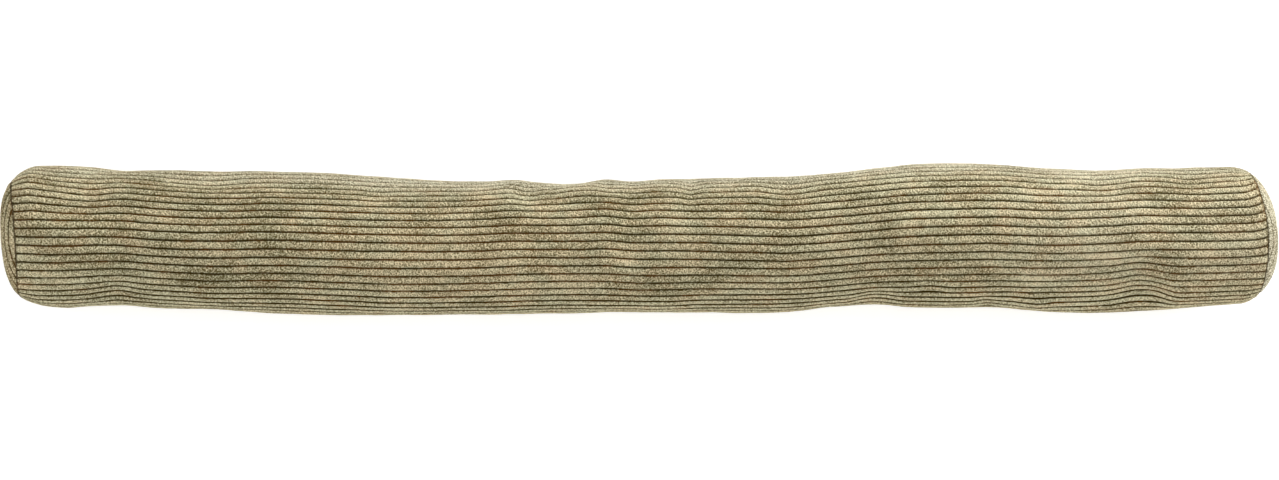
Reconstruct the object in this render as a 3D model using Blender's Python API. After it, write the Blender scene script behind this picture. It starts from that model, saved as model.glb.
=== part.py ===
"""Draught excluder: a long stuffed tube of jumbo corduroy with a round panel sewn into each end.

The tube lies along X on its flattened underside at z = 0. Its wales run along its length.
The tables give millimetres and degrees, and every function works in metres and radians.
"""

import math
from collections import namedtuple

import bmesh
import bpy
import numpy as np

MM = 0.001

# Corduroy
WALES_ROUND = 50
WALE_PITCH = 6.2 * MM
WALE_DEPTH = 1.2 * MM
CREST_START = 0.22  # a wale's crest, in parts of its width from one groove to the next
CREST_END = 0.78

# The tube under its own weight
CENTRE_HEIGHT = 0.857  # height of a section's centre, in parts of its half-width
FALL_RISES = (4, 24)  # degrees from the crown where a shoulder's fall starts and is full
FALL_ENDS = (56, 92)  # and where it starts to end and has ended
FLOOR_SOFTNESS = 5 * MM  # how gradually the underside leaves the surface it rests on

# Drawn-in ends
SIDE_GATHER = 0.19  # radians round a seam that the cloth is shifted from its top to its sides
CORNER_GATHER = 0.06  # and the part of that shift taken up between them
TILT_REACH = 70 * MM  # length over which the wales take up an end's lean and turn
GROOVE_FADE = 6 * MM  # length over which the grooves run out at a seam
SHOULDER_RINGS = (0.0, 0.5 * MM, 2.5 * MM, 7 * MM)  # rings between the seam and the last section
CAP_RINGS = ((50, 1.0), (50, 0.88), (25, 0.55))  # points and radius of the rings behind an end panel
SEAM_GAP = 0.3 * MM
BACK_GAP = 0.8 * MM

# End panels
PANEL_THICKNESS = 2.4 * MM
PANEL_COLUMNS = 9
PANEL_TIP = 0.2 * MM  # how close the first and last rows come to the rim
PANEL_FADE = 0.88  # part of the radius past which the grooves run out

CLOTH_COLOUR = (0.305, 0.262, 0.163, 1.0)
CLOTH_ROUGHNESS = 0.95

# Where the tube was measured from above. upper and lower are its edges towards +Y and -Y.
# upper_fall and lower_fall say how far each shoulder stands in from a round section.
# twist is how far the wales have crept round from the crown, towards -Y.
Section = namedtuple("Section", "x upper lower upper_fall lower_fall twist")
SECTIONS = (
    Section(-425, 51.8, -46.4, -1.5, -1.0, 1.2),
    Section(-405, 51.9, -48.3, 3.2, 0.9, 0.5),
    Section(-385, 50.6, -47.1, 4.0, 0.5, 0.0),
    Section(-365, 48.4, -46.6, 1.2, 1.2, -0.7),
    Section(-340, 48.7, -48.4, 3.0, 1.8, 0.6),
    Section(-300, 47.9, -49.4, 4.6, 0.2, 0.7),
    Section(-260, 47.8, -52.0, 5.0, 1.6, -1.7),
    Section(-220, 46.5, -53.4, 4.7, 1.6, -2.1),
    Section(-180, 43.8, -53.4, 3.9, -0.6, -2.7),
    Section(-105, 41.0, -53.0, 0.8, -1.3, -4.8),
    Section(-88, 41.8, -52.8, 0.5, -1.5, -5.2),
    Section(-70, 40.1, -52.2, 0.0, -1.6, -5.7),
    Section(-43, 39.2, -52.1, -2.0, -1.5, -6.2),
    Section(-23, 42.3, -51.4, -0.8, -1.8, -4.4),
    Section(-5, 40.6, -51.3, -1.0, -1.8, -3.5),
    Section(12, 42.1, -51.4, -1.3, -1.8, -2.9),
    Section(40, 42.9, -51.5, 0.0, -0.2, -2.2),
    Section(80, 43.7, -52.0, -1.2, 1.6, -0.8),
    Section(105, 44.4, -51.2, -0.3, 1.7, 0.6),
    Section(140, 46.8, -47.3, -1.6, 0.8, 1.8),
    Section(165, 49.9, -45.8, -1.0, 1.8, 2.2),
    Section(190, 52.5, -47.9, -0.1, 3.2, 0.5),
    Section(215, 53.5, -48.4, 0.4, 3.0, -0.1),
    Section(250, 52.6, -48.1, -0.2, 2.6, -1.2),
    Section(290, 49.7, -51.4, 0.2, 5.0, -3.3),
    Section(330, 48.7, -51.6, 0.1, 6.2, -5.3),
    Section(354, 50.1, -50.4, 0.2, 8.8, -5.5),
    Section(373, 50.0, -49.2, 0.8, 1.8, -5.0),
    Section(397, 50.7, -47.2, 1.3, 0.6, -3.5),
    Section(420, 51.0, -45.7, 0.4, 0.2, -3.0),
)

# Dents, and with a negative depth swells, on top of the sections' broad form.
# reach is half the length along the tube and spread is half the width round it.
Dent = namedtuple("Dent", "x angle reach spread depth")
DENTS = (
    Dent(-387, -40, 20, 24, 1.6),
    Dent(-369, 55, 20, 22, 2.0),
    Dent(-309, -66, 40, 18, 1.4),
    Dent(-183, -56, 18, 16, 1.0),
    Dent(-79, -56, 14, 28, 2.6),
    Dent(-42, -58, 22, 22, -1.4),
    Dent(-22, -62, 12, 20, 1.5),
    Dent(36, -60, 10, 32, 2.0),
    Dent(106, -50, 28, 22, 1.8),
    Dent(165, 70, 22, 18, 1.8),
    Dent(204, 50, 18, 16, 1.4),
    Dent(245, 76, 12, 18, 1.3),
    Dent(278, 70, 18, 20, -1.4),
    Dent(326, -50, 24, 22, 1.8),
    Dent(366, 58, 14, 28, 2.2),
    Dent(387, -56, 20, 20, 1.2),
)

# Each end seam is a ring of this radius round its centre. Its top leans out by lean, its +Y
# side turns in by turn, bow draws both sides back, and roll turns the cloth in it towards -Y.
# shoulder is the length over which the tube rounds down to it. bulge is the panel's height over
# it, fullness how much squarer than a plain dome the panel is, and first_groove how far below
# the seam's top its first groove lies.
End = namedtuple(
    "End", "name side x y z radius lean turn bow roll shoulder bulge fullness first_groove"
)
ENDS = (
    End("left", -1, -437.0, 0.5, 45.5, 41.0, 5.0, -2.8, -2.0, -3.3, 19, 11.6, 0.65, 5.8),
    End("right", 1, 435.3, 4.0, 44.4, 42.8, 5.0, 2.8, 2.6, -1.8, 15, 12.2, 0.8, 5.4),
)


def column(table, name):
    """One named column of a table, as an array."""
    return np.array([getattr(row, name) for row in table], float)


def smooth(table, name, x):
    """A table's column as a smooth curve along the tube, read at x metres, in table units."""
    knots = column(table, "x")
    values = column(table, name)
    slopes = np.gradient(values, knots)
    at = np.clip(np.asarray(x, float) / MM, knots[0], knots[-1])
    i = np.clip(np.searchsorted(knots, at) - 1, 0, len(knots) - 2)
    step = knots[i + 1] - knots[i]
    t = (at - knots[i]) / step
    return (
        values[i] * (1 + 2 * t) * (1 - t) ** 2
        + values[i + 1] * t * t * (3 - 2 * t)
        + slopes[i] * step * t * (1 - t) ** 2
        - slopes[i + 1] * step * t * t * (1 - t)
    )


def ramp(value, start, end):
    """0 before start, 1 after end, and a smooth rise between them."""
    t = np.clip((value - start) / (end - start), 0, 1)
    return t * t * (3 - 2 * t)


def bump(distance):
    """1 at distance 0, falling smoothly to 0 at distance 1."""
    return (1 - np.clip(distance, 0, 1) ** 2) ** 2


def press(height):
    """Heights flattened against the surface at z = 0."""
    low = np.clip(height + FLOOR_SOFTNESS, 0, 2 * FLOOR_SOFTNESS)
    return np.where(height > FLOOR_SOFTNESS, height, low**2 / (4 * FLOOR_SOFTNESS))


def inset(x, angle):
    """How far the tube's surface stands in from a round section, in metres."""
    turn = np.degrees(angle)
    shoulder = ramp(abs(turn), *FALL_RISES) * (1 - ramp(abs(turn), *FALL_ENDS))
    fall = np.where(turn < 0, smooth(SECTIONS, "upper_fall", x), smooth(SECTIONS, "lower_fall", x))
    depth = fall * shoulder
    for dent in DENTS:
        away = np.hypot((x / MM - dent.x) / dent.reach, (turn - dent.angle) / dent.spread)
        depth = depth + dent.depth * bump(away)
    return depth * MM


def seam_offset(end, across, up):
    """How far along X an end's plane stands from its centre, at parts of its radius."""
    offset = end.lean * up - end.turn * across + end.bow * (up**2 - across**2)
    return end.side * offset * MM


def gather(end, angle):
    """Where round its ring a seam holds the cloth that comes from this angle of the tube."""
    shift = SIDE_GATHER * np.sin(2 * angle) - CORNER_GATHER * np.sin(4 * angle)
    return angle + shift + math.radians(end.roll)


def skin(x, angle):
    """Points of the tube's smooth surface. angle runs from the crown, positive towards -Y."""
    upper = smooth(SECTIONS, "upper", x) * MM
    lower = smooth(SECTIONS, "lower", x) * MM
    half = (upper - lower) / 2
    radius = half - inset(x, angle)
    across = -np.sin(angle)
    up = np.cos(angle)
    y = (upper + lower) / 2 + radius * across
    z = CENTRE_HEIGHT * half + radius * up
    along = x
    for end in ENDS:
        seam_across = -np.sin(gather(end, angle))
        seam_up = np.cos(gather(end, angle))
        distance = end.side * (end.x * MM - x)
        pull = (1 - np.clip(distance / MM / end.shoulder, 0, 1)) ** 2
        y = y + pull * ((end.y + end.radius * seam_across) * MM - y)
        z = z + pull * ((end.z + end.radius * seam_up) * MM - z)
        along = along + (1 - ramp(distance, 0, TILT_REACH)) * seam_offset(end, seam_across, seam_up)
    return np.stack([along, y, press(z)], -1)


def ring(x):
    """The points of one ring of the tube: each wale's groove, then its crest's two edges."""
    twist = math.radians(float(smooth(SECTIONS, "twist", x)))
    step = 2 * math.pi / WALES_ROUND
    wales = np.arange(WALES_ROUND)[:, None] + np.array([0, CREST_START, CREST_END])
    angle = (wales.ravel() * step + twist + math.pi) % (2 * math.pi) - math.pi
    points = skin(np.full_like(angle, x), angle)
    nudge = step / 10
    onward = skin(np.full_like(angle, x), angle + nudge) - skin(np.full_like(angle, x), angle - nudge)
    inward = np.stack([np.zeros_like(angle), -onward[:, 2], onward[:, 1]], -1)
    inward /= np.linalg.norm(inward, axis=1)[:, None]
    ends = [end.side * (end.x * MM - x) for end in ENDS]
    fade = float(ramp(min(ends), 0, GROOVE_FADE))
    groove = np.tile([1.0, 0.0, 0.0], WALES_ROUND)
    return points + inward * (WALE_DEPTH * fade * groove)[:, None]


def dome(end, across, up, depth):
    """Points of an end panel's dome, depth metres below its crests."""
    spread = end.radius * MM
    round_part = 1 - across**2 - up**2
    round_part = round_part * (1 + end.fullness * (1 - round_part))
    x = end.x * MM + seam_offset(end, across, up) + end.side * (end.bulge * MM * round_part - depth)
    return np.stack([x, end.y * MM + spread * across, press(end.z * MM + spread * up)], -1)


def cap_ring(end, count, radius):
    """A ring of the tube's closed end, just behind the panel."""
    angle = gather(end, np.arange(count) * 2 * math.pi / count)
    depth = PANEL_THICKNESS + BACK_GAP
    return dome(end, -radius * np.sin(angle), radius * np.cos(angle), depth)


def bridge(mesh, outer, inner):
    """Faces between two closed rings, where outer has a whole number of points for each of inner's."""
    share = len(outer) // len(inner)
    for i, vert in enumerate(inner):
        first = i * share
        following = inner[(i + 1) % len(inner)]
        split = first + (share + 1) // 2
        for j in range(first, first + share):
            apex = vert if j < split else following
            mesh.faces.new((outer[j], outer[(j + 1) % len(outer)], apex))
        mesh.faces.new((vert, outer[split % len(outer)], following))


def add_object(mesh, name, collection):
    """A finished mesh as a named object with its own cloth material."""
    bmesh.ops.recalc_face_normals(mesh, faces=mesh.faces)
    if mesh.calc_volume(signed=True) < 0:
        bmesh.ops.reverse_faces(mesh, faces=mesh.faces)
    data = bpy.data.meshes.new(name)
    mesh.to_mesh(data)
    mesh.free()
    data.shade_smooth()
    data.set_sharp_from_angle(angle=math.radians(50))
    material = bpy.data.materials.new(name + "_corduroy")
    material.use_nodes = True
    shader = material.node_tree.nodes["Principled BSDF"]
    shader.inputs["Base Color"].default_value = CLOTH_COLOUR
    shader.inputs["Roughness"].default_value = CLOTH_ROUGHNESS
    shader.inputs["Metallic"].default_value = 0.0
    data.materials.append(material)
    made = bpy.data.objects.new(name, data)
    collection.objects.link(made)


def add_tube(collection):
    """The stuffed cover: rings from seam to seam, closed behind each end panel."""
    left, right = ENDS
    stations = [left.x * MM + gap for gap in SHOULDER_RINGS]
    stations += [section.x * MM for section in SECTIONS]
    stations += [right.x * MM - gap for gap in reversed(SHOULDER_RINGS)]
    mesh = bmesh.new()
    rings = [[mesh.verts.new(point) for point in ring(x)] for x in stations]
    for before, after in zip(rings, rings[1:]):
        for i in range(len(before)):
            j = (i + 1) % len(before)
            mesh.faces.new((before[i], before[j], after[j], after[i]))
    for end, outer in ((left, rings[0]), (right, rings[-1])):
        for count, radius in CAP_RINGS:
            inner = [mesh.verts.new(point) for point in cap_ring(end, count, radius)]
            bridge(mesh, outer, inner)
            outer = inner
        middle = mesh.verts.new(cap_ring(end, 1, 0.0)[0])
        for i, vert in enumerate(outer):
            mesh.faces.new((vert, outer[(i + 1) % len(outer)], middle))
    add_object(mesh, "tube_cover", collection)


def panel_rows(end, radius):
    """Heights of an end panel's rows, from its top down, and whether each lies in a groove."""
    rows = [(radius - PANEL_TIP, False)]
    groove = radius - end.first_groove * MM
    while groove > PANEL_TIP - radius:
        rows.append((groove + (1 - CREST_END) * WALE_PITCH, False))
        rows.append((groove, True))
        rows.append((groove - CREST_START * WALE_PITCH, False))
        groove -= WALE_PITCH
    rows.append((PANEL_TIP - radius, False))
    return [row for row in rows if abs(row[0]) <= radius - PANEL_TIP]


def add_panel(end, collection):
    """One domed end panel: a ribbed outer face, a plain inner face and the rim between them."""
    radius = end.radius * MM
    rim = (radius - SEAM_GAP) / radius
    columns = np.linspace(-1, 1, PANEL_COLUMNS)
    mesh = bmesh.new()
    faces = []
    for plain in (0.0, PANEL_THICKNESS):
        rows = []
        for height, in_groove in panel_rows(end, radius):
            up = rim * height / radius
            across = np.sqrt(rim**2 - up**2) * np.sin(columns * math.pi / 2)
            edge = 1 - ramp(np.hypot(across, up), PANEL_FADE, 1)
            depth = plain or WALE_DEPTH * in_groove * edge
            points = dome(end, across, np.full_like(across, up), depth)
            rows.append([mesh.verts.new(point) for point in points])
        for above, below in zip(rows, rows[1:]):
            for i in range(PANEL_COLUMNS - 1):
                mesh.faces.new((above[i], above[i + 1], below[i + 1], below[i]))
        sides = [row[0] for row in rows[1:-1]], [row[-1] for row in rows[1:-1]]
        faces.append(rows[0] + sides[1] + rows[-1][::-1] + sides[0][::-1])
    front, back = faces
    for i in range(len(front)):
        j = (i + 1) % len(front)
        mesh.faces.new((front[i], front[j], back[j], back[i]))
    add_object(mesh, "end_panel_" + end.name, collection)


def main():
    for old in list(bpy.data.objects):
        bpy.data.objects.remove(old)
    collection = bpy.data.collections.new("draught_excluder")
    bpy.context.scene.collection.children.link(collection)
    add_tube(collection)
    for end in ENDS:
        add_panel(end, collection)


main()
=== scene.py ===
"""Looks of a corduroy draught excluder: a long stuffed tube with a round panel in each end."""

import math
from collections import namedtuple

import bpy
import numpy as np
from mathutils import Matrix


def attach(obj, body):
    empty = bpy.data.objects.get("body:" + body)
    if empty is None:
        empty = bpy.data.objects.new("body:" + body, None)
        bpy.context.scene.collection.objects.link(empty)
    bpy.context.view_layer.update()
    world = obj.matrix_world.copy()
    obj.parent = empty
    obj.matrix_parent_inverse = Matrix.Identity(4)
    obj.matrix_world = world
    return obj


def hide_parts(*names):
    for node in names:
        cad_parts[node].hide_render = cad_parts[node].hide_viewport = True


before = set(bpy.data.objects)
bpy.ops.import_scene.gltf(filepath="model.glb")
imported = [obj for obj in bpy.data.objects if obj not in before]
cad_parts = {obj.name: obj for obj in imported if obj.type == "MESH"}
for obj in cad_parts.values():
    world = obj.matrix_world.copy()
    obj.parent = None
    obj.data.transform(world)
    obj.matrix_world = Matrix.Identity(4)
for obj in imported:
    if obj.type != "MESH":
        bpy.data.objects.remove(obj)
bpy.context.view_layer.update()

# Camera
# The tube is seen from straight above. The picture is as wide as the tube is long, and has no
# perspective, because the real picture was taken from far away.
MM = 0.001
PICTURE_WIDTH = 900 * MM
CAMERA_HEIGHT = 1.5
CAMERA_Y = -0.5 * MM

lens = bpy.data.cameras.new("camera")
lens.type = "ORTHO"
lens.ortho_scale = PICTURE_WIDTH
camera = bpy.data.objects.new("camera", lens)
camera.location = (0, CAMERA_Y, CAMERA_HEIGHT)
bpy.context.scene.collection.objects.link(camera)
bpy.context.scene.camera = camera
bpy.context.scene.view_settings.view_transform = "Standard"

# Tube cover
# One length of jumbo corduroy, closed into a tube and stuffed firmly with loose fibre. Its
# wales run from end to end, and its own weight flattens it where it rests.
WALES_ROUND = 50
WALE_PITCH = 6.2 * MM
WALE_STEPS = (0.0, 0.06, 0.14, 0.28, 0.5, 0.72, 0.86, 0.94)  # points across a wale, from a groove
SEAM_STATIONS = (0.0, 0.4, 1.0, 1.8, 2.8, 4.0, 5.5, 7.3, 9.5, 12.0)  # mm from an end seam
RINGS = 236
CENTRE_HEIGHT = 0.857  # height of a section's centre, in parts of its half-width
FALL_RISES = (4, 24)  # degrees from the crown where a shoulder's fall starts and is full
FALL_ENDS = (56, 92)  # and where it starts to end and has ended
FLOOR_SOFTNESS = 5 * MM  # how gradually the underside leaves the surface it rests on
SIDE_GATHER = 0.19  # radians round a seam that the cloth is shifted from its top to its sides
CORNER_GATHER = 0.06  # and the part of that shift taken up between them
TILT_REACH = 70 * MM  # length over which the wales take up an end's lean and turn
CAP_RINGS = (1.0, 0.88, 0.5)  # radius of the rings that close the tube behind an end panel
CAP_DEPTH = 3.2 * MM

# Where the tube was measured from above. upper and lower are its edges towards +Y and -Y.
# upper_fall and lower_fall say how far each shoulder stands in from a round section.
# twist is how far the wales have crept round from the crown, towards -Y.
Section = namedtuple("Section", "x upper lower upper_fall lower_fall twist")
SECTIONS = (
    Section(-425, 51.8, -46.4, -1.5, -1.0, 1.2),
    Section(-405, 51.9, -48.3, 3.2, 0.9, 0.5),
    Section(-385, 50.6, -47.1, 4.0, 0.5, 0.0),
    Section(-365, 48.4, -46.6, 1.2, 1.2, -0.7),
    Section(-340, 48.7, -48.4, 3.0, 1.8, 0.6),
    Section(-300, 47.9, -49.4, 4.6, 0.2, 0.7),
    Section(-260, 47.8, -52.0, 5.0, 1.6, -1.7),
    Section(-220, 46.5, -53.4, 4.7, 1.6, -2.1),
    Section(-180, 43.8, -53.4, 3.9, -0.6, -2.7),
    Section(-105, 41.0, -53.0, 0.8, -1.3, -4.8),
    Section(-88, 41.8, -52.8, 0.5, -1.5, -5.2),
    Section(-70, 40.1, -52.2, 0.0, -1.6, -5.7),
    Section(-43, 39.2, -52.1, -2.0, -1.5, -6.2),
    Section(-23, 42.3, -51.4, -0.8, -1.8, -4.4),
    Section(-5, 40.6, -51.3, -1.0, -1.8, -3.5),
    Section(12, 42.1, -51.4, -1.3, -1.8, -2.9),
    Section(40, 42.9, -51.5, 0.0, -0.2, -2.2),
    Section(80, 43.7, -52.0, -1.2, 1.6, -0.8),
    Section(105, 44.4, -51.2, -0.3, 1.7, 0.6),
    Section(140, 46.8, -47.3, -1.6, 0.8, 1.8),
    Section(165, 49.9, -45.8, -1.0, 1.8, 2.2),
    Section(190, 52.5, -47.9, -0.1, 3.2, 0.5),
    Section(215, 53.5, -48.4, 0.4, 3.0, -0.1),
    Section(250, 52.6, -48.1, -0.2, 2.6, -1.2),
    Section(290, 49.7, -51.4, 0.2, 5.0, -3.3),
    Section(330, 48.7, -51.6, 0.1, 6.2, -5.3),
    Section(354, 50.1, -50.4, 0.2, 8.8, -5.5),
    Section(373, 50.0, -49.2, 0.8, 1.8, -5.0),
    Section(397, 50.7, -47.2, 1.3, 0.6, -3.5),
    Section(420, 51.0, -45.7, 0.4, 0.2, -3.0),
)

# Dents, and with a negative depth swells, on top of the sections' broad form.
# reach is half the length along the tube and spread is half the width round it.
Dent = namedtuple("Dent", "x angle reach spread depth")
DENTS = (
    Dent(-387, -40, 20, 24, 1.6),
    Dent(-369, 55, 20, 22, 2.0),
    Dent(-309, -66, 40, 18, 1.4),
    Dent(-183, -56, 18, 16, 1.0),
    Dent(-79, -56, 14, 28, 2.6),
    Dent(-42, -58, 22, 22, -1.4),
    Dent(-22, -62, 12, 20, 1.5),
    Dent(36, -60, 10, 32, 2.0),
    Dent(106, -50, 28, 22, 1.8),
    Dent(165, 70, 22, 18, 1.8),
    Dent(204, 50, 18, 16, 1.4),
    Dent(245, 76, 12, 18, 1.3),
    Dent(278, 70, 18, 20, -1.4),
    Dent(326, -50, 24, 22, 1.8),
    Dent(366, 58, 14, 28, 2.2),
    Dent(387, -56, 20, 20, 1.2),
)

# Each end seam is a ring of this radius round its centre. Its top leans out by lean, its +Y
# side turns in by turn, bow draws both sides back, and roll turns the cloth in it towards -Y.
# shoulder is the length over which the tube rounds down to it. bulge is the panel's height over
# it, fullness how much squarer than a plain dome the panel is, and first_groove how far below
# the seam's top its first groove lies.
End = namedtuple(
    "End", "name side x y z radius lean turn bow roll shoulder bulge fullness first_groove"
)
ENDS = (
    End("left", -1, -437.0, 0.5, 45.5, 41.0, 5.0, -2.8, -2.0, -3.3, 19, 11.6, 0.65, 5.8),
    End("right", 1, 435.3, 4.0, 44.4, 42.8, 5.0, 2.8, 2.6, -1.8, 15, 12.2, 0.8, 5.4),
)

# Broad patches of the cloth, lighter or darker and warmer or greener than the rest, partly its own
# tone and partly painted light and shade. The last column is how far its pile lies over the grooves
# there; it also pales and greys the cloth as painted sheen, and below 0 it deepens and darkens the
# grooves as painted shade.
Patch = namedtuple("Patch", "x angle reach spread light warmth laid")
PATCHES = (
    # Painted sheen and highlight along the upper edge, which faces the lamp.
    Patch(0, -82, 900, 36, 0.20, -0.3, 0.50),
    # Painted sheen on the crests along the lower edge, and painted shade deep in its grooves.
    Patch(0, 68, 900, 36, 0.16, -0.3, -0.80),
    Patch(-358, 50, 110, 60, 0.0, -0.5, 0.0),
    # Painted shade over the left end, away from the lamp.
    Patch(-300, 0, 170, 160, -0.10, 0.0, -0.14),
    Patch(-123, 10, 140, 60, 0.0, 0.5, 0.0),
    Patch(165, -45, 80, 50, 0.0, -0.4, 0.0),
    Patch(190, -45, 120, 60, 0.12, 0.0, 0.0),
    Patch(205, 50, 70, 50, -0.14, 0.0, 0.0),
    # Painted light at the right end, towards the lamp.
    Patch(315, 0, 80, 130, 0.24, 0.0, 0.10),
    Patch(400, 45, 60, 50, 0.0, 0.4, 0.0),
    # Painted light at the right end, towards the lamp.
    Patch(420, 15, 60, 110, 0.16, 0.0, 0.10),
)


def smooth(table, name, x):
    """A table's column as a smooth curve along the tube, read at x metres, in table units."""
    knots = np.array([row.x for row in table], float)
    values = np.array([getattr(row, name) for row in table], float)
    slopes = np.gradient(values, knots)
    at = np.clip(x / MM, knots[0], knots[-1])
    i = np.clip(np.searchsorted(knots, at) - 1, 0, len(knots) - 2)
    step = knots[i + 1] - knots[i]
    t = (at - knots[i]) / step
    return (
        values[i] * (1 + 2 * t) * (1 - t) ** 2
        + values[i + 1] * t * t * (3 - 2 * t)
        + slopes[i] * step * t * (1 - t) ** 2
        - slopes[i + 1] * step * t * t * (1 - t)
    )


def ramp(value, start, end):
    """0 before start, 1 after end, and a smooth rise between them."""
    t = np.clip((value - start) / (end - start), 0, 1)
    return t * t * (3 - 2 * t)


def bump(distance):
    """1 at distance 0, falling smoothly to 0 at distance 1."""
    return (1 - np.clip(distance, 0, 1) ** 2) ** 2


def press(height):
    """Heights flattened against the surface at z = 0."""
    low = np.clip(height + FLOOR_SOFTNESS, 0, 2 * FLOOR_SOFTNESS)
    return np.where(height > FLOOR_SOFTNESS, height, low**2 / (4 * FLOOR_SOFTNESS))


def inset(x, angle):
    """How far the tube's surface stands in from a round section, in metres."""
    turn = np.degrees(angle)
    shoulder = ramp(abs(turn), *FALL_RISES) * (1 - ramp(abs(turn), *FALL_ENDS))
    fall = np.where(turn < 0, smooth(SECTIONS, "upper_fall", x), smooth(SECTIONS, "lower_fall", x))
    depth = fall * shoulder
    for dent in DENTS:
        away = np.hypot((x / MM - dent.x) / dent.reach, (turn - dent.angle) / dent.spread)
        depth = depth + dent.depth * bump(away)
    return depth * MM


def patched(name, x, angle):
    """One column of the broad patches of tone and painted light and shade, summed at places on the tube."""
    turn = np.degrees(angle)
    total = 0 * turn
    for patch in PATCHES:
        away = np.hypot((x / MM - patch.x) / patch.reach, (turn - patch.angle) / patch.spread)
        total = total + getattr(patch, name) * bump(away)
    return total


def seam_offset(end, across, up):
    """How far along X an end's plane stands from its centre, at parts of its radius."""
    offset = end.lean * up - end.turn * across + end.bow * (up**2 - across**2)
    return end.side * offset * MM


def gather(end, angle):
    """Where round its ring a seam holds the cloth that comes from this angle of the tube."""
    shift = SIDE_GATHER * np.sin(2 * angle) - CORNER_GATHER * np.sin(4 * angle)
    return angle + shift + math.radians(end.roll)


def skin(x, angle):
    """Points of the tube's smooth surface. angle runs from the crown, positive towards -Y."""
    upper = smooth(SECTIONS, "upper", x) * MM
    lower = smooth(SECTIONS, "lower", x) * MM
    half = (upper - lower) / 2
    radius = half - inset(x, angle)
    across = -np.sin(angle)
    up = np.cos(angle)
    y = (upper + lower) / 2 + radius * across
    z = CENTRE_HEIGHT * half + radius * up
    along = x
    for end in ENDS:
        seam_across = -np.sin(gather(end, angle))
        seam_up = np.cos(gather(end, angle))
        distance = end.side * (end.x * MM - x)
        pull = (1 - np.clip(distance / MM / end.shoulder, 0, 1)) ** 2
        y = y + pull * ((end.y + end.radius * seam_across) * MM - y)
        z = z + pull * ((end.z + end.radius * seam_up) * MM - z)
        along = along + (1 - ramp(distance, 0, TILT_REACH)) * seam_offset(end, seam_across, seam_up)
    return np.stack([along, y, press(z)], -1)


def dome(end, across, up, depth):
    """Points of an end panel's dome, depth metres below its crests."""
    spread = end.radius * MM
    round_part = 1 - across**2 - up**2
    round_part = round_part * (1 + end.fullness * (1 - round_part))
    x = end.x * MM + seam_offset(end, across, up) + end.side * (end.bulge * MM * round_part - depth)
    return np.stack([x, end.y * MM + spread * across, press(end.z * MM + spread * up)], -1)


def tube_stations():
    """Where the tube's rings lie: close together by the seams, then evenly spaced."""
    left, right = (end.x * MM for end in ENDS)
    near = np.array(SEAM_STATIONS) * MM
    between = np.linspace(left + near[-1], right - near[-1], RINGS - 2 * len(near) + 2)
    return np.concatenate([left + near, between[1:-1], right - near[::-1]])


def wale_positions():
    """The tube's points round it, counted in wales from the crown, starting underneath."""
    first = -WALES_ROUND // 2
    return (np.arange(first, first + WALES_ROUND)[:, None] + np.array(WALE_STEPS)).ravel()


def cap_rings(end, angle):
    """The rings that close the tube behind an end panel, from the seam inwards."""
    across = -np.sin(gather(end, angle))
    up = np.cos(gather(end, angle))
    return [dome(end, radius * across, radius * up, CAP_DEPTH) for radius in CAP_RINGS]


def new_mesh(name, points, faces):
    """A mesh of these points and faces, shaded smooth."""
    mesh = bpy.data.meshes.new(name)
    mesh.from_pydata(points.tolist(), [], faces)
    mesh.shade_smooth()
    return mesh


def add_number(mesh, name, values):
    """One number at each point, kept with the mesh under a name."""
    attribute = mesh.attributes.new(name, "FLOAT", "POINT")
    attribute.data.foreach_set("value", np.asarray(values, np.float32).ravel())


def add_map(mesh, name, places):
    """A UV map, from a place for each face corner."""
    layer = mesh.uv_layers.new(name=name)
    layer.uv.foreach_set("vector", np.asarray(places, np.float32).ravel())


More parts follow.
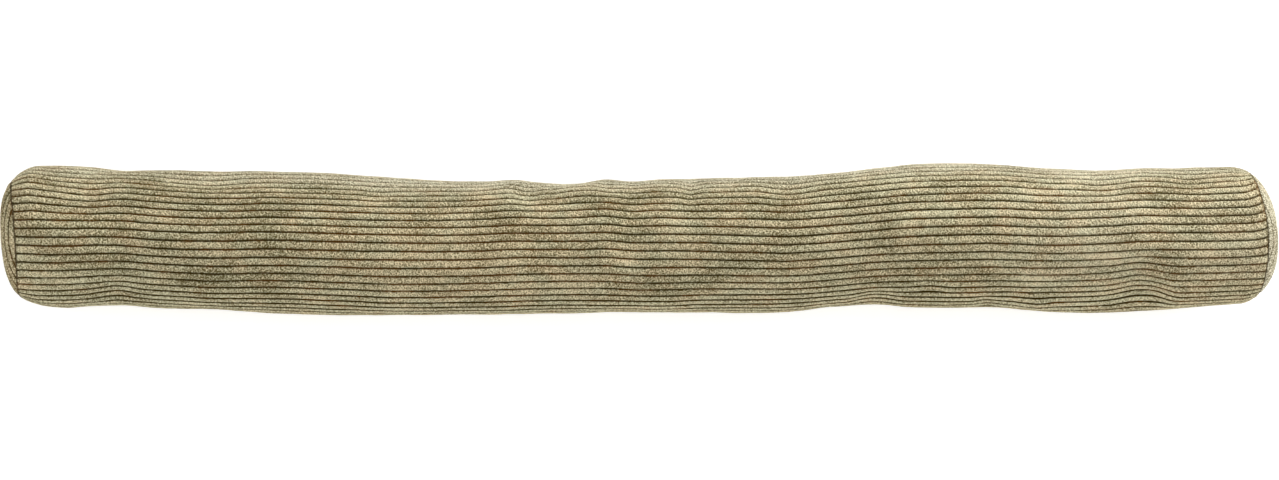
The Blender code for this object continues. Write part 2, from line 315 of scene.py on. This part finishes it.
def tube_mesh():
    """The smooth tube, closed at both ends, with its cloth's coordinates on it."""
    stations = tube_stations()
    wales = wale_positions()
    turns = wales * 2 * math.pi / WALES_ROUND
    x = stations[:, None] + 0 * wales
    angle = turns + np.radians(smooth(SECTIONS, "twist", x))
    angle = (angle + math.pi) % (2 * math.pi) - math.pi
    open_rings = list(skin(x, angle))
    left, right = ENDS
    rings = cap_rings(left, angle[0])[::-1] + open_rings + cap_rings(right, angle[-1])
    count = len(wales)
    points = np.concatenate(rings)
    middles = [dome(end, 0.0, 0.0, CAP_DEPTH) for end in ENDS]
    points = np.concatenate([points, middles])
    caps = len(CAP_RINGS)
    along = np.concatenate([np.full(caps, stations[0]), stations, np.full(caps, stations[-1])])
    within = np.clip(along - stations[0], 0, None)
    seam = np.minimum(within, stations[-1] - along)
    relief = np.ones(len(along))
    relief[:caps] = 0
    relief[-caps:] = 0

    ring = np.arange(len(along) - 1)[:, None]
    step = np.arange(count)[None, :]
    following = (step + 1) % count
    quads = np.stack(
        [
            ring * count + step,
            ring * count + following,
            (ring + 1) * count + following,
            (ring + 1) * count + step,
        ],
        -1,
    ).reshape(-1, 4)
    last = (len(along) - 1) * count
    fans = [(len(points) - 2, (j + 1) % count, j) for j in range(count)]
    fans += [(last + j, last + (j + 1) % count, len(points) - 1) for j in range(count)]
    mesh = new_mesh("tube_cover_corduroy", points, quads.tolist() + fans)

    per_ring = [np.repeat(values, count) for values in (along, seam, relief)]
    for name, values in zip(("along", "seam", "relief"), per_ring):
        add_number(mesh, name, np.concatenate([values, [0, 0]]))
    add_number(mesh, "wale", np.concatenate([np.tile(wales, len(along)), [0, 0]]))
    for name in ("light", "warmth", "laid"):
        rows = patched(name, x, angle)
        rows = [rows[0]] * caps + list(rows) + [rows[-1]] * caps
        add_number(mesh, name, np.concatenate(rows + [[0, 0]]))

    next_wale = np.append(wales[1:], WALES_ROUND / 2)
    ring_of = np.stack([ring + 0 * step, ring + 0 * step, ring + 1 + 0 * step, ring + 1 + 0 * step], -1)
    wale_of = np.stack([0 * ring + wales, 0 * ring + next_wale, 0 * ring + next_wale, 0 * ring + wales], -1)
    ring_of = ring_of.reshape(-1, 4)
    wale_of = wale_of.reshape(-1, 4)
    cloth = np.stack([along[ring_of], wale_of], -1).reshape(-1, 2)
    fan_cloth = np.zeros((6 * count, 2))
    add_map(mesh, "cloth", np.concatenate([cloth, fan_cloth]))
    add_map(mesh, "OFBake", np.concatenate([bake_places(ring_of, wale_of, len(along)), fan_cloth + 0.001]))
    return mesh


def bake_places(ring_of, wale_of, rings):
    """The tube's cloth set out in two strips, its left half over its right half."""
    half = rings // 2
    right_half = (ring_of.min(1) >= half)[:, None]
    across = np.where(right_half, ring_of - half, ring_of) / (half + 1)
    up = 0.01 + 0.48 * (wale_of / WALES_ROUND + 0.5) + 0.5 * right_half
    return np.stack([0.01 + 0.98 * across, up], -1).reshape(-1, 2)


class Wire:
    """A node's output that Python sums can use: 1 - mask adds its own Math node."""

    def __init__(self, wiring, node, output=0):
        self.wiring = wiring
        self.node = node
        self.socket = node.outputs[output] if node.outputs else None

    def output(self, name):
        return Wire(self.wiring, self.node, name)

    def sum(self, operation, first, second=0.0):
        return self.wiring.node("ShaderNodeMath", {"operation": operation}, {0: first, 1: second})

    def __add__(self, other):
        return self.sum("ADD", self, other)

    def __radd__(self, other):
        return self.sum("ADD", other, self)

    def __sub__(self, other):
        return self.sum("SUBTRACT", self, other)

    def __rsub__(self, other):
        return self.sum("SUBTRACT", other, self)

    def __mul__(self, other):
        return self.sum("MULTIPLY", self, other)

    def __rmul__(self, other):
        return self.sum("MULTIPLY", other, self)

    def __truediv__(self, other):
        return self.sum("DIVIDE", self, other)

    def __pow__(self, other):
        return self.sum("POWER", self, other)

    def __abs__(self):
        return self.sum("ABSOLUTE", self)

    def fraction(self):
        return self.sum("FRACT", self)

    def whole(self):
        return self.sum("FLOOR", self)

    def at_least(self, other):
        return self.sum("MAXIMUM", self, other)


class Wiring:
    """A node tree being wired. Any node but a sum comes from its node method."""

    def __init__(self, tree):
        self.tree = tree

    def node(self, kind, settings=None, values=None, output=0):
        """Adds a node with its settings, then its sockets' values or links. Returns one output."""
        made = self.tree.nodes.new(kind)
        for name, setting in (settings or {}).items():
            setattr(made, name, setting)
        for name, value in (values or {}).items():
            if isinstance(value, Wire):
                self.tree.links.new(value.socket, made.inputs[name])
            else:
                made.inputs[name].default_value = value
        return Wire(self, made, output)

    def noise(self, vector, scale, detail=2.0, roughness=0.5):
        """Blender's noise round zero, from about -1 to 1."""
        values = {"Vector": vector, "Scale": scale, "Detail": detail, "Roughness": roughness}
        return 2 * self.node("ShaderNodeTexNoise", None, values) - 1

    def specks(self, vector, scale):
        """A random value from -1 to 1 for each of the cells that fill space."""
        colour = self.node("ShaderNodeTexVoronoi", None, {"Vector": vector, "Scale": scale}, "Color")
        return 2 * self.node("ShaderNodeSeparateColor", None, {0: colour}) - 1

    def dots(self, vector, scale):
        """Evenly scattered hollows, from about -1 in each one's middle to 1 between them."""
        settings = {"voronoi_dimensions": "2D"}
        values = {"Vector": vector, "Scale": scale}
        return 4 * self.node("ShaderNodeTexVoronoi", settings, values, "Distance") - 1.7

    def step(self, value, start, end):
        """0 below start, 1 above end, and a smooth rise between them."""
        values = {"Value": value, "From Min": start, "From Max": end}
        return self.node("ShaderNodeMapRange", {"interpolation_type": "SMOOTHSTEP"}, values)

    def mix(self, factor, first, second, blend="MIX"):
        """A mix of two colours."""
        settings = {"data_type": "RGBA", "blend_type": blend}
        return self.node("ShaderNodeMix", settings, {0: factor, 6: first, 7: second}, 2)

    def scaled(self, vector, amount):
        """A vector times a number."""
        return self.node("ShaderNodeVectorMath", {"operation": "SCALE"}, {0: vector, "Scale": amount})

    def added(self, first, second):
        """The sum of two vectors."""
        return self.node("ShaderNodeVectorMath", {"operation": "ADD"}, {0: first, 1: second})

    def point(self, x=0.0, y=0.0, z=0.0):
        """A vector from its three numbers."""
        return self.node("ShaderNodeCombineXYZ", None, {0: x, 1: y, 2: z})


RELIEF_INPUTS = (
    ("Geometry", "NodeSocketGeometry"),
    ("Groove depth", "NodeSocketFloat"),
    ("Crest flatness", "NodeSocketFloat"),
    ("Seam depth", "NodeSocketFloat"),
    ("Seam width", "NodeSocketFloat"),
    ("Unevenness", "NodeSocketFloat"),
    ("Pucker", "NodeSocketFloat"),
    ("Wander", "NodeSocketFloat"),
    ("Wales run", "NodeSocketVector"),
    ("Cloth", "NodeSocketMaterial"),
)
SEAM_EASE = 3 * MM  # distance from a seam at which the grooves have their full depth
SEAM_SHARE = 0.45  # and the share of that depth which they have right at the seam
LAID_SHARE = 0.4  # share of a groove's depth that laid pile fills
PUCKER_REACH = (1 * MM, 16 * MM)  # distances from a seam at which its puckers fade and end
PUCKERS_PER_METRE = 130
RIPPLES_PER_METRE = 42
CRESTS_PER_METRE = 90  # swells along each wale
CREST_SHARE = 0.35  # and their height, in parts of the cloth's unevenness
WANDER_PER_METRE = 75


def wale_relief_tree():
    """Sinks the grooves between wales, rolls the cloth's edge into its seam and makes it uneven."""
    tree = bpy.data.node_groups.new("wale_relief", "GeometryNodeTree")
    for name, kind in RELIEF_INPUTS:
        tree.interface.new_socket(name, in_out="INPUT", socket_type=kind)
    tree.interface.new_socket("Geometry", in_out="OUTPUT", socket_type="NodeSocketGeometry")
    wiring = Wiring(tree)
    given = tree.nodes.new("NodeGroupInput")
    asked = {name: Wire(wiring, given, name) for name, kind in RELIEF_INPUTS}

    def number(name):
        return wiring.node("GeometryNodeInputNamedAttribute", {"data_type": "FLOAT"}, {"Name": name})

    wale, seam, relief = number("wale"), number("seam"), number("relief")
    place = wiring.node("GeometryNodeInputPosition")
    outward = wiring.node("GeometryNodeInputNormal")
    sideways = wiring.node(
        "ShaderNodeVectorMath", {"operation": "CROSS_PRODUCT"}, {0: outward, 1: asked["Wales run"]}
    )
    from_crest = abs(2 * wale.fraction() - 1)
    open_cloth = wiring.step(seam, 0.0, SEAM_EASE)
    groove = from_crest ** asked["Crest flatness"] * (SEAM_SHARE + (1 - SEAM_SHARE) * open_cloth)
    groove = groove * (1 - LAID_SHARE * number("laid"))
    crest_place = wiring.point(wale.whole() * 7.3, number("along") * CRESTS_PER_METRE, 3.0)
    crests = wiring.noise(crest_place, 1.0)
    past_seam = seam - 0.5 * asked["Seam width"] * from_crest ** 3
    rolled = 1 - wiring.step(past_seam, 0.0, asked["Seam width"])
    puckers = wiring.noise(place, PUCKERS_PER_METRE, 1.0) * (1 - wiring.step(seam, *PUCKER_REACH))
    ripples = wiring.noise(place, RIPPLES_PER_METRE, 2.0)
    lift = asked["Unevenness"] * (ripples + CREST_SHARE * crests) * open_cloth
    lift = lift + asked["Pucker"] * puckers
    lift = lift - asked["Groove depth"] * groove - asked["Seam depth"] * rolled
    wander_place = wiring.added(place, wiring.point(0.31, 0.07, 0.0))
    drift = asked["Wander"] * wiring.noise(wander_place, WANDER_PER_METRE, 2.0)
    offset = wiring.added(
        wiring.scaled(outward, lift * relief), wiring.scaled(sideways, drift * relief * open_cloth)
    )
    moved = wiring.node("GeometryNodeSetPosition", None, {"Geometry": asked["Geometry"], "Offset": offset})
    parts = wiring.node("ShaderNodeSeparateXYZ", None, {0: place})
    level = wiring.point(parts.output("X"), parts.output("Y"), parts.output("Z").at_least(0.0))
    rested = wiring.node("GeometryNodeSetPosition", None, {"Geometry": moved, "Position": level})
    real = wiring.node("GeometryNodeRealizeInstances", None, {"Geometry": rested})
    finished = wiring.node("GeometryNodeSetMaterial", None, {"Geometry": real, "Material": asked["Cloth"]})
    result = tree.nodes.new("NodeGroupOutput")
    tree.links.new(finished.socket, result.inputs["Geometry"])
    return tree


def grown(name, mesh, tree, inputs):
    """The plain mesh object that a node tree makes of a mesh, with the tree's inputs by name."""
    rough = bpy.data.objects.new(name + "_rough", mesh)
    bpy.context.scene.collection.objects.link(rough)
    modifier = rough.modifiers.new("wales", "NODES")
    modifier.node_group = tree
    for item in tree.interface.items_tree:
        if item.in_out == "INPUT" and item.name in inputs:
            modifier[item.identifier] = inputs[item.name]
    depsgraph = bpy.context.evaluated_depsgraph_get()
    made = bpy.data.meshes.new_from_object(rough.evaluated_get(depsgraph), depsgraph=depsgraph)
    bpy.data.objects.remove(rough)
    made.name = name
    piece = bpy.data.objects.new(name, made)
    bpy.context.scene.collection.objects.link(piece)
    return piece


DARK_COLOUR = (0.125, 0.098, 0.034, 1)
PALE_COLOUR = (0.830, 0.745, 0.520, 1)
WARM_TINT = (1.06, 0.98, 0.88, 1)
GREEN_TINT = (0.96, 1.0, 0.94, 1)
# Painted sheen: the grey, cool cast given where the pile lies over the grooves.
PAINTED_SHEEN_GREY = (0.96, 1.0, 1.18, 1)
# The grooves' own dark ground, darkened further as painted shade, with a warmer rusty variant.
GROOVE_SHADE_COLOUR = (0.048, 0.030, 0.002, 1)
RUST_SHADE_COLOUR = (0.115, 0.048, 0.006, 1)
SHEEN_TINT = (1.0, 0.88, 0.6, 1)
FLECKS_PER_MM = 1.3
DOTS_PER_MM = 0.8
MEAN_LIGHT = 1.04  # the pile's light, where 0 is the dark colour and 2 the pale one
FLECK_LIGHT = 0.75  # how far each kind of variation moves it
DOT_LIGHT = 0.6
BRUSHED_LIGHT = 0.9
WALE_LIGHT = 0.45
# The broad patches move it with painted light and shade as well as with the cloth's tone.
PATCH_LIGHT = 1.5
PAINTED_LIP_SHADE = 0.24  # painted shade: how much darker each wale is on its side towards -Y, away from the lamp
PAINTED_FLANK_SHADE = 0.10  # and painted shade on both its flanks, towards the grooves
GROOVE_EDGE = (0.64, 0.93)  # from 0 on a crest to 1 in a groove, where its painted shade starts and is full
SEAM_SHADE_WIDTH = 0.7 * MM  # width of the line of painted shade beside a seam, in its valley
PILE_HEIGHT = 0.8 * MM


def corduroy(name, start):
    """Pile cloth: flecked, brushed one way and the other in patches, with painted light and shade, and dark
    with painted shade in its grooves and seams.
    """
    material = bpy.data.materials.new(name)
    material.use_nodes = True
    material.node_tree.nodes.clear()
    wiring = Wiring(material.node_tree)

    def number(name):
        return wiring.node("ShaderNodeAttribute", {"attribute_name": name}, None, "Fac")

    cloth = wiring.node("ShaderNodeUVMap", {"uv_map": "cloth"})
    parts = wiring.node("ShaderNodeSeparateXYZ", None, {0: cloth})
    wale = parts.output("Y")
    length = parts.output("X") / MM + start
    across = wale * (WALE_PITCH / MM)
    from_crest = abs(2 * wale.fraction() - 1)

    flecks = wiring.specks(wiring.point(length, across, start), FLECKS_PER_MM)
    dots = wiring.dots(wiring.point(length, across, start), DOTS_PER_MM)
    soft = wiring.noise(wiring.point(length * 0.3, across * 0.3, start + 4), 1.0, 2.0)
    brushed = wiring.noise(wiring.point(length * 0.025, across * 0.045, start + 17), 1.0, 1.5, 0.6)
    each_wale = wiring.noise(wiring.point(length * 0.05, wale.whole() * 3.1, start + 23), 1.0, 1.0)
    hue = wiring.noise(wiring.point(length * 0.04, across * 0.09, start + 31), 1.0, 2.0, 0.65)

    hue = hue + 0.15 * soft + number("warmth") * 0.5
    tint = wiring.mix(wiring.step(hue, -0.5, 0.5), GREEN_TINT, WARM_TINT)
    # Painted sheen: greyer and cooler where the pile lies over the grooves.
    tint = wiring.mix(number("laid"), tint, PAINTED_SHEEN_GREY)
    light = MEAN_LIGHT + FLECK_LIGHT * flecks + DOT_LIGHT * dots
    # The broad patches add painted light and shade to the pile's own tone.
    light = light + BRUSHED_LIGHT * brushed + WALE_LIGHT * each_wale + PATCH_LIGHT * number("light")
    # Painted shade on each wale's side away from the lamp and on both its flanks.
    painted_lip_shade = PAINTED_LIP_SHADE * wiring.step(wale.fraction(), 0.5, 0.95)
    painted_lip_shade = painted_lip_shade + PAINTED_FLANK_SHADE * wiring.step(from_crest, 0.35, 0.9)
    light = light * (1.0 - painted_lip_shade)
    base = wiring.mix(0.5 * light, DARK_COLOUR, PALE_COLOUR)
    base = wiring.mix(1.0, base, tint, "MULTIPLY")

    # The grooves' colour: their own dark ground, deepened with painted shade.
    shaded_groove_colour = wiring.mix(wiring.step(hue, -0.1, 0.3), GROOVE_SHADE_COLOUR, RUST_SHADE_COLOUR)
    broken_line = wiring.noise(wiring.point(length * 0.14, wale.whole() * 5.7, start + 41), 1.0, 2.0)
    ragged = from_crest + 0.12 * soft + 0.10 * broken_line + 0.02 * flecks - 0.12 * number("laid")
    # Painted shade in the grooves. It is broken up in places and fades where the pile lies over them as
    # painted sheen.
    groove_shade_mask = wiring.step(ragged, *GROOVE_EDGE) * (1.0 - 0.7 * number("laid"))
    # A line of painted shade in each seam's valley.
    beside_seam = wiring.step(number("seam") - SEAM_SHADE_WIDTH * from_crest ** 3, 0.0, SEAM_SHADE_WIDTH)
    seam_shade_mask = (0.68 + 0.5 * broken_line) * (1.0 - beside_seam)
    colour = wiring.mix(groove_shade_mask.at_least(seam_shade_mask), base, shaded_groove_colour)

    height = 0.3 * flecks + 0.7 * dots + 0.2 * soft
    depth = {"Strength": 0.7, "Distance": PILE_HEIGHT, "Height": height}
    pile = wiring.node("ShaderNodeBump", None, depth)
    shader = wiring.node(
        "ShaderNodeBsdfPrincipled",
        None,
        {
            "Base Color": colour,
            "Roughness": 0.95,
            "Specular IOR Level": 0.05,
            "Sheen Weight": 0.12,
            "Sheen Roughness": 0.45,
            "Sheen Tint": SHEEN_TINT,
            "Normal": pile,
        },
    )
    wiring.node("ShaderNodeOutputMaterial", None, {"Surface": shader})
    return material


relief_tree = wale_relief_tree()
tube = grown(
    "tube_cover_corduroy",
    tube_mesh(),
    relief_tree,
    {
        "Groove depth": 1.7 * MM,
        "Crest flatness": 5.0,
        "Seam depth": 0.6 * MM,
        "Seam width": 2.0 * MM,
        "Unevenness": 0.6 * MM,
        "Pucker": 0.5 * MM,
        "Wander": 0.45 * MM,
        "Wales run": (1.0, 0.0, 0.0),
        "Cloth": corduroy("corduroy_cloth", 0.0),
    },
)
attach(tube, "root")
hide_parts("tube_cover")

# End panels
# A disc of the same corduroy closes each end, sewn in by its rim so that the edges lie inside.
# The filling pushes it out into a low dome, and its wales run straight across.
PANEL_THICKNESS = 2.4 * MM
PANEL_COLUMNS = 65
PANEL_TIP = 0.15 * MM  # how close the first and last rows come to the rim
SEAM_GAP = 0.3 * MM
# Painted light on the right panel, which faces the lamp, made paler and greyer as painted sheen, and
# painted shade on the left panel, which faces away from it.
PANEL_LIGHT_AND_TONE = {
    "left": {"light": -0.15, "warmth": 0.2, "laid": 0.0},
    "right": {"light": 0.14, "warmth": -0.5, "laid": 0.5},
}


def panel_wales(end, radius):
    """Heights of an end panel's rows, from its top down, with each one's place in wales."""
    first = radius - end.first_groove * MM
    count = math.ceil(2 * radius / WALE_PITCH)
    rows = (np.arange(-1, count)[:, None] + np.array(WALE_STEPS)).ravel()
    heights = first - rows * WALE_PITCH
    keep = abs(heights) < radius - PANEL_TIP
    heights = np.concatenate([[radius - PANEL_TIP], heights[keep], [PANEL_TIP - radius]])
    return heights, (first - heights) / WALE_PITCH


def panel_mesh(end):
    """A domed disc with a front and a back, and its cloth's coordinates on it."""
    radius = end.radius * MM
    rim = (radius - SEAM_GAP) / radius
    heights, wales = panel_wales(end, radius)
    turn = np.sin(np.linspace(-1, 1, PANEL_COLUMNS) * math.pi / 2)
    up = rim * heights[:, None] / radius + 0 * turn
    across = np.sqrt(rim**2 - up**2) * turn
    rows, columns = up.shape
    front = dome(end, across, up, 0.0).reshape(-1, 3)
    back = dome(end, across, up, PANEL_THICKNESS).reshape(-1, 3)
    points = np.concatenate([front, back])
    distance = np.tile(radius * (rim - np.hypot(across, up)).ravel(), 2)
    is_front = np.repeat([1.0, 0.0], rows * columns)

    first = (np.arange(rows - 1)[:, None] * columns + np.arange(columns - 1)).ravel()
    quads = np.stack([first, first + 1, first + columns + 1, first + columns], -1)
    if end.side > 0:
        quads = quads[:, ::-1]
    rim_line = list(range(columns))
    rim_line += [row * columns + columns - 1 for row in range(1, rows)]
    rim_line += [(rows - 1) * columns + column for column in range(columns - 2, -1, -1)]
    rim_line += [row * columns for row in range(rows - 2, 0, -1)]
    rim_line = np.array(rim_line)
    onward = np.roll(rim_line, -1)
    behind = len(front)
    wall = np.stack([onward, rim_line, rim_line + behind, onward + behind], -1)
    if end.side > 0:
        wall = wall[:, ::-1]
    faces = np.concatenate([quads, quads[:, ::-1] + behind, wall])
    name = f"end_panel_{end.name}_corduroy"
    mesh = new_mesh(name, points, faces.tolist())

    sideways = np.tile((across * radius).ravel(), 2)
    row_wales = np.tile((wales[:, None] + 0 * across).ravel(), 2)
    add_number(mesh, "along", sideways)
    add_number(mesh, "seam", distance)
    add_number(mesh, "relief", is_front)
    add_number(mesh, "wale", row_wales)
    for pile, amount in PANEL_LIGHT_AND_TONE[end.name].items():
        add_number(mesh, pile, 0 * distance + amount)
    corners = faces.ravel()
    add_map(mesh, "cloth", np.stack([sideways, row_wales], -1)[corners])
    disc = np.tile(np.stack([across, up], -1).reshape(-1, 2), (2, 1))
    shown = is_front[:, None] > 0
    bake = np.where(shown, 0.5 + 0.42 * disc, 0.045 + 0.04 * disc)
    add_map(mesh, "OFBake", bake[corners])
    return mesh


for number, end in enumerate(ENDS):
    panel = grown(
        f"end_panel_{end.name}_corduroy",
        panel_mesh(end),
        relief_tree,
        {
            "Groove depth": 1.7 * MM,
            "Crest flatness": 5.0,
            "Seam depth": 0.6 * MM,
            "Seam width": 1.6 * MM,
            "Unevenness": 0.25 * MM,
            "Pucker": 0.4 * MM,
            "Wander": 0.2 * MM,
            "Wales run": (0.0, 1.0, 0.0),
            "Cloth": corduroy(f"corduroy_{end.name}_end", 60.0 + 40.0 * number),
        },
    )
    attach(panel, "root")
    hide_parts("end_panel_" + end.name)

# Floor and light
# A plain white studio floor that glows a little, lit all round and by one large soft lamp set low
# beyond the tube's +Y side and towards its right end.
FLOOR_SIZE = 12.0
FLOOR_DROP = 0.2 * MM  # keeps its face apart from the flattened underside
FLOOR_COLOUR = (0.95, 0.95, 0.95, 1)
FLOOR_GLOW = 0.45
SKY_STRENGTH = 0.92
LAMP_PLACE = (2.0, 1.6, 0.55)
LAMP_SIZE = (2.4, 0.8)
LAMP_WATTS = 46.0

floor_mesh = new_mesh(
    "floor",
    np.array([(-1, -1, 0), (1, -1, 0), (1, 1, 0), (-1, 1, 0)]) * FLOOR_SIZE / 2,
    [(0, 1, 2, 3)],
)
floor = bpy.data.objects.new("floor", floor_mesh)
floor.location.z = -FLOOR_DROP
bpy.context.scene.collection.objects.link(floor)
paint = bpy.data.materials.new("floor_paint")
paint.use_nodes = True
coat = paint.node_tree.nodes["Principled BSDF"].inputs
coat["Base Color"].default_value = FLOOR_COLOUR
coat["Roughness"].default_value = 0.9
coat["Specular IOR Level"].default_value = 0.0
coat["Emission Color"].default_value = FLOOR_COLOUR
coat["Emission Strength"].default_value = FLOOR_GLOW
floor_mesh.materials.append(paint)

sky = bpy.data.worlds.new("sky")
sky.use_nodes = True
sky.node_tree.nodes["Background"].inputs["Color"].default_value = (1, 1, 1, 1)
sky.node_tree.nodes["Background"].inputs["Strength"].default_value = SKY_STRENGTH
bpy.context.scene.world = sky

lamp_data = bpy.data.lights.new("lamp", "AREA")
lamp_data.shape = "RECTANGLE"
lamp_data.size, lamp_data.size_y = LAMP_SIZE
lamp_data.energy = LAMP_WATTS
lamp = bpy.data.objects.new("lamp", lamp_data)
lamp.location = LAMP_PLACE
toward = -lamp.location
lamp.rotation_mode = "QUATERNION"
lamp.rotation_quaternion = toward.to_track_quat("-Z", "Y")
bpy.context.scene.collection.objects.link(lamp)
